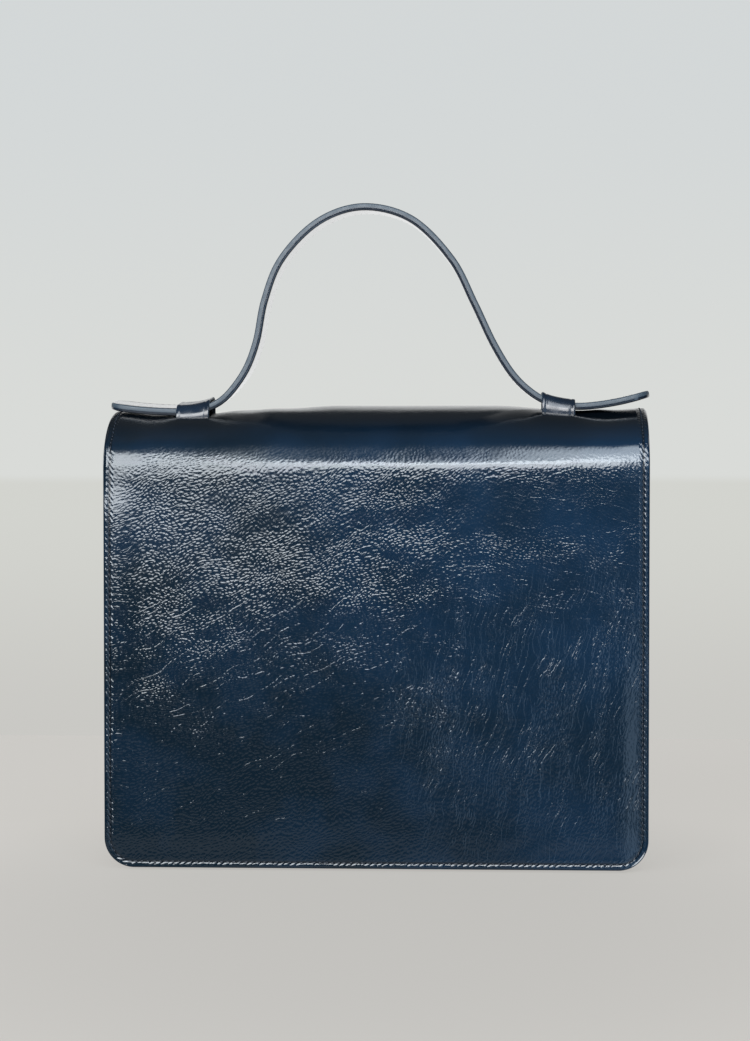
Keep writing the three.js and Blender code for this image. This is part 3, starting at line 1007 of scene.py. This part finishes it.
STRAP_GRADING = (0.0, 0.05, 0.16, 0.35, 0.7, 1.1, 1.3, 1.5, 1.7, 2.0, 2.6)
strap = leather_sheet(
    "handle_strap_leather",
    strap_middle,
    run=stops(strap_length, STRAP_STEPS[0], STRAP_GRADING),
    across=stops(2 * strap_half, STRAP_STEPS[1], STRAP_GRADING) - strap_half,
    corners=(STRAP_END_CORNER, STRAP_END_CORNER),
    wall=STRAP_WALL,
    rim=STRAP_RIM,
    relief=strap_relief,
    inner_step=1,
)
put_on(strap, "handle_strap", strap_leather)

strap_rows = []
for side in (-1, 1):
    run = np.arange(STRAP_END_CORNER, strap_length - STRAP_END_CORNER, SEAM_STEP)
    across = np.full(len(run), side * (strap_half - STRAP_STITCH_INSET))
    strap_rows.append(raised(strap_middle, across, run, STRAP_WALL / 2 - STRAP_STITCH_SINK))
    x = np.interp(run, strap_lengths, strap_points[:, 0])
    free = (x > STRAP_ARCH[0]) & (x < STRAP_ARCH[1])
    under_lift = -STRAP_WALL / 2 + STRAP_UNDER_SINK
    strap_rows.append(raised(strap_middle, across[free], run[free], under_lift))
sew("handle_strap_stitches", strap_rows, width=STRAP_STITCH_WIDTH)


# Keeper loops: two narrow bands of the strap's calf that hold the strap down. Each passes through two slits
# in the flap and closes under it. A crease is pressed in near both of its edges.

LOOP_WALL = 1.0
LOOP_RIM = 0.4
LOOP_CORNER = 1.9
LOOP_SHOULDER = 4.4
LOOP_GAP = 0.3
LOOP_EASE = 0.6
LOOP_ROUGHNESS = 0.22
CREASE_INSET = 1.5
CREASE_DEPTH = 0.16
CREASE_WIDTH = 0.28
FLAT_ENDS_FROM = 45.0
LOOP_STEPS = (0.35, 0.6)


def strap_top_at(x):
    """Height of the strap's upper face over a place on one of its flat ends."""
    way = np.gradient(strap_points, strap_lengths, axis=0)
    upper = strap_points + STRAP_WALL / 2 * np.stack([-way[:, 1], way[:, 0]], -1)
    ends = np.abs(upper[:, 0]) > FLAT_ENDS_FROM
    order = np.argsort(upper[ends, 0])
    return np.interp(x, upper[ends, 0][order], upper[ends, 1][order])


loop_leather = leather(
    "loop_calf",
    (STRAP_DEEP, STRAP_NAVY, STRAP_EDGE),
    LOOP_ROUGHNESS,
    strap_grain,
    under=STRAP_DEEP,
    under_dullness=0.1,
)


def loop_relief(across, run, inset):
    return -CREASE_DEPTH * hump(inset, CREASE_INSET, CREASE_WIDTH)


LOOP_GRADING = (0.0, 0.06, 0.2, 0.4, 0.7, 1.0, 1.25, 1.5, 1.75, 2.1)
LOOP_END_GRADING = LOOP_GRADING[:4]
for name in ("handle_loop_left", "handle_loop_right"):
    loop_low, loop_high = box_in_mm(name)
    loop_mid = (loop_low[0] + loop_high[0]) / 2
    loop_half = (loop_high[0] - loop_low[0]) / 2
    half_ring = loop_high[1] - LOOP_WALL / 2
    foot = loop_low[2] + LOOP_WALL / 2
    crown = strap_top_at(loop_mid) + LOOP_GAP + LOOP_WALL / 2
    ring_height = crown - foot
    quarter = np.linspace(0.0, math.pi / 2, 24)
    base = LOOP_CORNER - LOOP_WALL / 2
    turns = ((-1, -1, base, 180), (-1, 1, LOOP_SHOULDER, 90), (1, 1, LOOP_SHOULDER, 0), (1, -1, base, -90))
    ring = [np.array([[0.0, foot]])]
    for toward, up, bend, end_degrees in turns:
        centre_y = toward * (half_ring + LOOP_EASE - bend)
        centre_z = crown - bend if up > 0 else foot + bend
        angle = math.radians(end_degrees + 90) - quarter
        ring.append(np.stack([centre_y + bend * np.cos(angle), centre_z + bend * np.sin(angle)], -1))
    ring = np.concatenate(ring + [np.array([[0.0, foot]])])
    ring_lengths = lengths_along(ring)

    def loop_middle(across, run):
        y = np.interp(run, ring_lengths, ring[:, 0])
        z = np.interp(run, ring_lengths, ring[:, 1])
        x = loop_mid + across
        share = np.clip((z - foot) / ring_height, 0, 1)
        tilt = strap_top_at(x) - strap_top_at(loop_mid) + y * roll_slope(loop_mid)
        return np.stack([x + 0 * y, y, z + share * tilt], -1)

    loop = leather_sheet(
        name + "_leather",
        loop_middle,
        run=stops(ring_lengths[-1], LOOP_STEPS[0], LOOP_END_GRADING),
        across=stops(2 * loop_half, LOOP_STEPS[1], LOOP_GRADING) - loop_half,
        corners=(SQUARE_CORNER, SQUARE_CORNER),
        wall=LOOP_WALL,
        rim=LOOP_RIM,
        relief=loop_relief,
        inner_step=2,
    )
    put_on(loop, name, loop_leather)


# Stage, light and camera: a pale table top in front of a pale backdrop, lit by a broad soft box in front and
# to the left and by a soft window higher on the right. The camera stands level with the top of the bag.

TABLE_HALF_WIDTH = 0.9
TABLE_HALF_DEPTH = 0.373
# Size and place of the soft shadow painted on the table in front of the bag
SHADOW_HALF_WIDTH = 0.15
SHADOW_HALF_DEPTH = 0.20
SHADOW_AHEAD = 0.14
TABLE_TONE = (0.050, 0.049, 0.0475, 1.0)
TABLE_GLOW = (0.528, 0.514, 0.487, 1.0)
TABLE_PAINTED_SHADOW = (0.464, 0.454, 0.432, 1.0)
WALL_HIGH = (0.655, 0.683, 0.687, 1.0)
WALL_LOW = (0.694, 0.708, 0.687, 1.0)
SILL_FAR = (0.648, 0.655, 0.621, 1.0)
SILL_NEAR = (0.587, 0.581, 0.555, 1.0)
DARK_ROOM = (0.022, 0.024, 0.027, 1.0)
BRIGHT_BACK = (0.85, 0.86, 0.86, 1.0)
SOFT_FRONT = (0.13, 0.15, 0.18, 1.0)
DIM_CEILING = (0.10, 0.11, 0.12, 1.0)
FLOOR_LEFT = (0.03, 0.03, 0.03, 1.0)
FLOOR_RIGHT = (0.07, 0.08, 0.09, 1.0)
FLOOR_NEAR = (0.48, 0.48, 0.48, 1.0)
RIGHT_WALL = (1.0, 1.3, 1.65, 1.0)
RIGHT_WINDOW = (8.1, 8.6, 9.1, 1.0)

table_mesh = bpy.data.meshes.new("table_top")
table_mesh.from_pydata(
    [(x * TABLE_HALF_WIDTH, y * TABLE_HALF_DEPTH, 0.0) for x, y in ((-1, -1), (1, -1), (1, 1), (-1, 1))],
    [],
    [(0, 1, 2, 3)],
)
table = bpy.data.objects.new("table_top", table_mesh)
bpy.context.collection.objects.link(table)
table_material, shade = new_shade("pale_table")
# Painted shadow: the table's glow dims in a soft patch in front of the bag, where the bag's shade falls
spot = shade.add("ShaderNodeTexCoord", {}, {}, output="Object")
aside = spot.part("X") * (1 / SHADOW_HALF_WIDTH)
ahead = (spot.part("Y") + SHADOW_AHEAD) * (1 / SHADOW_HALF_DEPTH)
painted_shadow_mask = (aside * aside + ahead * ahead).ramp(0.0, 2.2, 1.0, 0.0)
sockets = {
    "Base Color": TABLE_TONE,
    "Roughness": 0.8,
    "Specular IOR Level": 0.1,
    "Emission Color": painted_shadow_mask.blend(TABLE_GLOW, TABLE_PAINTED_SHADOW),
    "Emission Strength": 1.0,
}
finish_shade(shade, sockets)
table.data.materials.append(table_material)
table.visible_glossy = False

world = bpy.data.worlds.new("studio")
bpy.context.scene.world = world
world.use_nodes = True
world.node_tree.nodes.clear()
shade = Shade(world.node_tree)
# The room by direction: what the leather mirrors, and the wall and sill that the camera sees
way = shade.add("ShaderNodeTexCoord", {}, {}, output="Generated")
height = way.part("Z")
sideways = way.part("X")
behind = way.part("Y").ramp(0.25, 0.7) * height.ramp(0.40, 0.60, 1.0, 0.0)
room = behind.blend(DARK_ROOM, BRIGHT_BACK)
in_front = way.part("Y").ramp(-0.1, -0.4)
room = (in_front * height.ramp(-0.02, 0.22) * height.ramp(0.5, 0.75, 1.0, 0.0)).blend(room, SOFT_FRONT)
room = height.ramp(0.4, 0.8).blend(room, DIM_CEILING)
floor = sideways.ramp(-0.06, 0.14).blend(FLOOR_LEFT, FLOOR_RIGHT)
floor = height.ramp(-0.17, -0.26).blend(floor, FLOOR_NEAR)
room = (in_front * height.ramp(0.02, -0.10)).blend(room, floor)
from_right = sideways.ramp(0.12, 0.32) * sideways.ramp(0.45, 0.65, 1.0, 0.0)
room = (in_front * from_right * height.ramp(0.35, 0.55, 1.0, 0.0)).blend(room, RIGHT_WALL)
sloped = height - sideways.ramp(-0.05, 0.06) * 0.24
window = in_front * sloped.ramp(0.67, 0.53) * height.ramp(0.36, 0.46) * sideways.ramp(-0.16, -0.02)
room = (window * sideways.ramp(0.35, 0.5, 1.0, 0.0)).blend(room, RIGHT_WINDOW)
wall = height.ramp(-0.02, 0.13).blend(WALL_LOW, WALL_HIGH)
sill = height.ramp(-0.115, -0.03).blend(SILL_NEAR, SILL_FAR)
seen = height.ramp(-0.0255, -0.0215).blend(sill, wall)
camera_ray = shade.add("ShaderNodeLightPath", {}, {}, output="Is Camera Ray")
background = shade.add("ShaderNodeBackground", {}, {"Color": camera_ray.blend(room, seen), "Strength": 1.0})
shade.add("ShaderNodeOutputWorld", {}, {"Surface": background})

KEY_PLACE = (-0.521, -1.325, 0.662)
KEY_TILT = math.radians(68.0)
KEY_TURN = math.radians(-22.0)
KEY_SIZE = (1.7, 0.72)
KEY_WATTS = 52.0

lamp = bpy.data.lights.new("key_soft_box", "AREA")
lamp.shape = "RECTANGLE"
lamp.size, lamp.size_y = KEY_SIZE
lamp.energy = KEY_WATTS
light = bpy.data.objects.new("key_soft_box", lamp)
bpy.context.collection.objects.link(light)
light.location = KEY_PLACE
light.rotation_euler = (KEY_TILT, 0.0, KEY_TURN)
light.visible_camera = False

CAMERA_DISTANCE = 0.975
CAMERA_HEIGHT = 0.160
CAMERA_YAW = math.radians(2.74)
CAMERA_TILT = math.radians(2.20)
FOCAL_PIXELS = 2816.5
PICTURE_HEIGHT = 1041.0

camera_data = bpy.data.cameras.new("camera")
camera_data.sensor_width = 36.0
camera_data.lens = FOCAL_PIXELS / PICTURE_HEIGHT * camera_data.sensor_width
camera_data.clip_end = 20.0
camera = bpy.data.objects.new("camera", camera_data)
bpy.context.collection.objects.link(camera)
camera.location = (
    CAMERA_DISTANCE * math.sin(CAMERA_YAW),
    flap_front * MM - CAMERA_DISTANCE * math.cos(CAMERA_YAW),
    CAMERA_HEIGHT,
)
camera.rotation_euler = (math.pi / 2 - CAMERA_TILT, 0.0, CAMERA_YAW)
bpy.context.scene.camera = camera
bpy.context.scene.view_settings.view_transform = "Standard"
